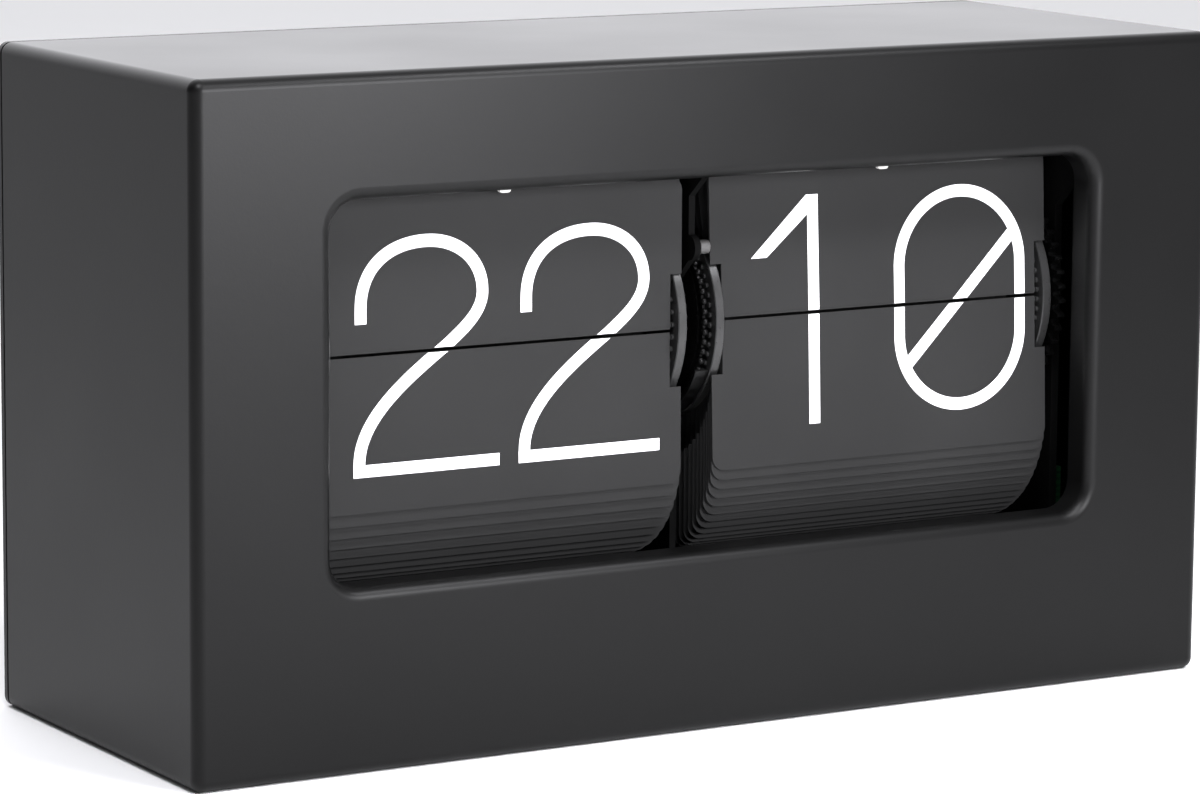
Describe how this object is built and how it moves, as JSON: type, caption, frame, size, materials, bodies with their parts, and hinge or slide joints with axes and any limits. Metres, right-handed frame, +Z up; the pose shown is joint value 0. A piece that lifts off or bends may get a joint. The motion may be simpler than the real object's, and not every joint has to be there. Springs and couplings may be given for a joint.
{
  "type": "flip number clock",
  "caption": "Desk clock: a rectangular case with an open window onto two coaxial drums of split number leaves, driven by gears from a small motor.",
  "frame": {"origin": "centre of the underside of the case", "axes": "+Z up, +Y towards the back of the case, +X to the right of someone facing the window"},
  "size_m": [0.2, 0.075, 0.115],
  "materials": {
    "case_lacquer": "matt dark lacquer",
    "leaf_black": "matt",
    "disc_black": "satin",
    "frame_steel": "black paint",
    "bright_steel": "plain",
    "screw_steel": "blackened",
    "white_nylon": "moulded",
    "gear_black": "moulded",
    "gear_white": "moulded",
    "brass_pinion": "cut",
    "motor_can": "drawn can",
    "wheel_black": "ribbed",
    "tray_plastic": "moulded",
    "cell_label": "printed sleeve",
    "contact_nickel": "nickel plated",
    "board_green": "solder mask",
    "chip_black": "moulded"
  },
  "bodies": {
    "case": {"back_panel": "case_lacquer", "back_screws": "screw_steel", "battery_cells": "cell_label", "battery_contacts": "contact_nickel", "battery_tray": "tray_plastic", "board_components": "chip_black", "case_shell": "case_lacquer", "control_board": "board_green", "detent_spring": "bright_steel", "drum_shaft": "bright_steel", "frame_base": "frame_steel", "frame_centre": "frame_steel", "frame_screws": "screw_steel", "frame_side_left": "frame_steel", "frame_side_right": "frame_steel", "idler_stud": "bright_steel", "leaf_guide": "white_nylon", "leaf_stops": "white_nylon", "motor_housing": "motor_can", "shaft_clips": "bright_steel", "shaft_spacers": "white_nylon", "top_rail": "frame_steel"},
    "battery_door": {"battery_door": "case_lacquer"},
    "hour_drum": {"hour_core": "disc_black", "hour_disc_left": "disc_black", "hour_disc_right": "disc_black", "hour_gear": "gear_black", "hour_leaves_hanging": "leaf_black", "hour_leaves_waiting": "leaf_black"},
    "hour_leaf_falling": {"hour_leaf_falling": "leaf_black"},
    "hour_leaf_next": {"hour_leaf_next": "leaf_black"},
    "hour_leaf_0": {"hour_leaf_0": "leaf_black"},
    "hour_leaf_1": {"hour_leaf_1": "leaf_black"},
    "hour_leaf_2": {"hour_leaf_2": "leaf_black"},
    "hour_leaf_3": {"hour_leaf_3": "leaf_black"},
    "hour_leaf_4": {"hour_leaf_4": "leaf_black"},
    "hour_leaf_5": {"hour_leaf_5": "leaf_black"},
    "minute_drum": {"minute_core": "disc_black", "minute_disc_left": "disc_black", "minute_disc_right": "disc_black", "minute_gear": "gear_black", "minute_leaves_hanging": "leaf_black", "minute_leaves_waiting": "leaf_black", "minute_star_wheel": "gear_black"},
    "minute_leaf_falling": {"minute_leaf_falling": "leaf_black"},
    "minute_leaf_next": {"minute_leaf_next": "leaf_black"},
    "minute_leaf_0": {"minute_leaf_0": "leaf_black"},
    "minute_leaf_1": {"minute_leaf_1": "leaf_black"},
    "minute_leaf_2": {"minute_leaf_2": "leaf_black"},
    "minute_leaf_3": {"minute_leaf_3": "leaf_black"},
    "minute_leaf_4": {"minute_leaf_4": "leaf_black"},
    "minute_leaf_5": {"minute_leaf_5": "leaf_black"},
    "reduction": {"reduction_pinion": "gear_white", "reduction_wheel": "gear_white"},
    "motor_rotor": {"motor_pinion": "brass_pinion"},
    "setting_idler": {"setting_idler": "gear_white"},
    "setting_wheel": {"setting_gear": "gear_white", "setting_wheel": "wheel_black"},
    "carry": {"carry_pinion": "gear_black", "carry_cam": "gear_black"}
  },
  "joints": [
    {"name": "hour_drum_turn", "type": "hinge", "parent": "case", "child": "hour_drum", "pos_m": [0, -0.01, 0.068], "axis": [1, 0, 0], "range_deg": [0, 7.5]},
    {"name": "hour_leaf_fall", "type": "hinge", "parent": "hour_drum", "child": "hour_leaf_falling", "pos_m": [0, -0.0263, 0.06837], "axis": [1, 0, 0], "range_deg": [0, 172]},
    {"name": "hour_leaf_next_swing", "type": "hinge", "parent": "hour_drum", "child": "hour_leaf_next", "pos_m": [0, -0.02611, 0.07049], "axis": [1, 0, 0], "range_deg": [-5.81, 0]},
    {"name": "hour_leaf_0_swing", "type": "hinge", "parent": "hour_drum", "child": "hour_leaf_0", "pos_m": [0, -0.0262, 0.06624], "axis": [1, 0, 0], "range_deg": [-7.31, 0]},
    {"name": "hour_leaf_1_swing", "type": "hinge", "parent": "hour_drum", "child": "hour_leaf_1", "pos_m": [0, -0.02584, 0.06414], "axis": [1, 0, 0], "range_deg": [-7.35, 0]},
    {"name": "hour_leaf_2_swing", "type": "hinge", "parent": "hour_drum", "child": "hour_leaf_2", "pos_m": [0, -0.0252, 0.06211], "axis": [1, 0, 0], "range_deg": [-7.38, 0]},
    {"name": "hour_leaf_3_swing", "type": "hinge", "parent": "hour_drum", "child": "hour_leaf_3", "pos_m": [0, -0.0243, 0.06017], "axis": [1, 0, 0], "range_deg": [-7.41, 0]},
    {"name": "hour_leaf_4_swing", "type": "hinge", "parent": "hour_drum", "child": "hour_leaf_4", "pos_m": [0, -0.02315, 0.05837], "axis": [1, 0, 0], "range_deg": [-7.43, 0]},
    {"name": "hour_leaf_5_swing", "type": "hinge", "parent": "hour_drum", "child": "hour_leaf_5", "pos_m": [0, -0.02178, 0.05674], "axis": [1, 0, 0], "range_deg": [-7.44, 0]},
    {"name": "minute_drum_turn", "type": "hinge", "parent": "case", "child": "minute_drum", "pos_m": [0, -0.01, 0.068], "axis": [1, 0, 0], "range_deg": [0, 6]},
    {"name": "minute_leaf_fall", "type": "hinge", "parent": "minute_drum", "child": "minute_leaf_falling", "pos_m": [0, -0.02623, 0.06948], "axis": [1, 0, 0], "range_deg": [0, 174.8]},
    {"name": "minute_leaf_next_swing", "type": "hinge", "parent": "minute_drum", "child": "minute_leaf_next", "pos_m": [0, -0.02599, 0.07117], "axis": [1, 0, 0], "range_deg": [-4.71, 0]},
    {"name": "minute_leaf_0_swing", "type": "hinge", "parent": "minute_drum", "child": "minute_leaf_0", "pos_m": [0, -0.0263, 0.06777], "axis": [1, 0, 0], "range_deg": [-5.53, 0]},
    {"name": "minute_leaf_1_swing", "type": "hinge", "parent": "minute_drum", "child": "minute_leaf_1", "pos_m": [0, -0.02619, 0.06607], "axis": [1, 0, 0], "range_deg": [-5.63, 0]},
    {"name": "minute_leaf_2_swing", "type": "hinge", "parent": "minute_drum", "child": "minute_leaf_2", "pos_m": [0, -0.02589, 0.06439], "axis": [1, 0, 0], "range_deg": [-5.7, 0]},
    {"name": "minute_leaf_3_swing", "type": "hinge", "parent": "minute_drum", "child": "minute_leaf_3", "pos_m": [0, -0.02543, 0.06275], "axis": [1, 0, 0], "range_deg": [-5.76, 0]},
    {"name": "minute_leaf_4_swing", "type": "hinge", "parent": "minute_drum", "child": "minute_leaf_4", "pos_m": [0, -0.0248, 0.06116], "axis": [1, 0, 0], "range_deg": [-5.81, 0]},
    {"name": "minute_leaf_5_swing", "type": "hinge", "parent": "minute_drum", "child": "minute_leaf_5", "pos_m": [0, -0.024, 0.05965], "axis": [1, 0, 0], "range_deg": [-5.85, 0]},
    {"name": "reduction_turn", "type": "hinge", "parent": "case", "child": "reduction", "pos_m": [0, 0.00414, 0.05115], "axis": [1, 0, 0], "range_deg": [-27.01, 0]},
    {"name": "motor_turn", "type": "hinge", "parent": "case", "child": "motor_rotor", "pos_m": [0, 0.01317, 0.03917], "axis": [1, 0, 0], "range_deg": [0, 108.01]},
    {"name": "setting_idler_turn", "type": "hinge", "parent": "case", "child": "setting_idler", "pos_m": [0, 0.014, 0.068], "axis": [1, 0, 0], "range_deg": [-18.01, 0]},
    {"name": "setting_wheel_turn", "type": "hinge", "parent": "case", "child": "setting_wheel", "pos_m": [0, 0.0272, 0.068], "axis": [1, 0, 0], "range_deg": [0, 15.01]},
    {"name": "carry_turn", "type": "hinge", "parent": "case", "child": "carry", "pos_m": [0, -0.0007, 0.08411], "axis": [1, 0, 0], "range_deg": [-31.26, 0]},
    {"name": "battery_door_pull", "type": "slide", "parent": "case", "child": "battery_door", "axis": [0, 1, 0], "range_m": [0, 0.03]}
  ],
  "couplings": [
    {"joint": "hour_leaf_next_swing", "follows": "hour_drum_turn", "ratio": -0.77333},
    {"joint": "hour_leaf_0_swing", "follows": "hour_drum_turn", "ratio": -0.97333},
    {"joint": "hour_leaf_1_swing", "follows": "hour_drum_turn", "ratio": -0.97867},
    {"joint": "hour_leaf_2_swing", "follows": "hour_drum_turn", "ratio": -0.98293},
    {"joint": "hour_leaf_3_swing", "follows": "hour_drum_turn", "ratio": -0.98635},
    {"joint": "hour_leaf_4_swing", "follows": "hour_drum_turn", "ratio": -0.98908},
    {"joint": "hour_leaf_5_swing", "follows": "hour_drum_turn", "ratio": -0.99126},
    {"joint": "minute_leaf_next_swing", "follows": "minute_drum_turn", "ratio": -0.78333},
    {"joint": "minute_leaf_0_swing", "follows": "minute_drum_turn", "ratio": -0.92},
    {"joint": "minute_leaf_1_swing", "follows": "minute_drum_turn", "ratio": -0.936},
    {"joint": "minute_leaf_2_swing", "follows": "minute_drum_turn", "ratio": -0.9488},
    {"joint": "minute_leaf_3_swing", "follows": "minute_drum_turn", "ratio": -0.95904},
    {"joint": "minute_leaf_4_swing", "follows": "minute_drum_turn", "ratio": -0.96723},
    {"joint": "minute_leaf_5_swing", "follows": "minute_drum_turn", "ratio": -0.97379},
    {"joint": "reduction_turn", "follows": "minute_drum_turn", "ratio": -4.5},
    {"joint": "motor_turn", "follows": "minute_drum_turn", "ratio": 18},
    {"joint": "setting_idler_turn", "follows": "minute_drum_turn", "ratio": -3},
    {"joint": "setting_wheel_turn", "follows": "minute_drum_turn", "ratio": 2.5},
    {"joint": "carry_turn", "follows": "hour_drum_turn", "ratio": -4.1667}
  ]
}
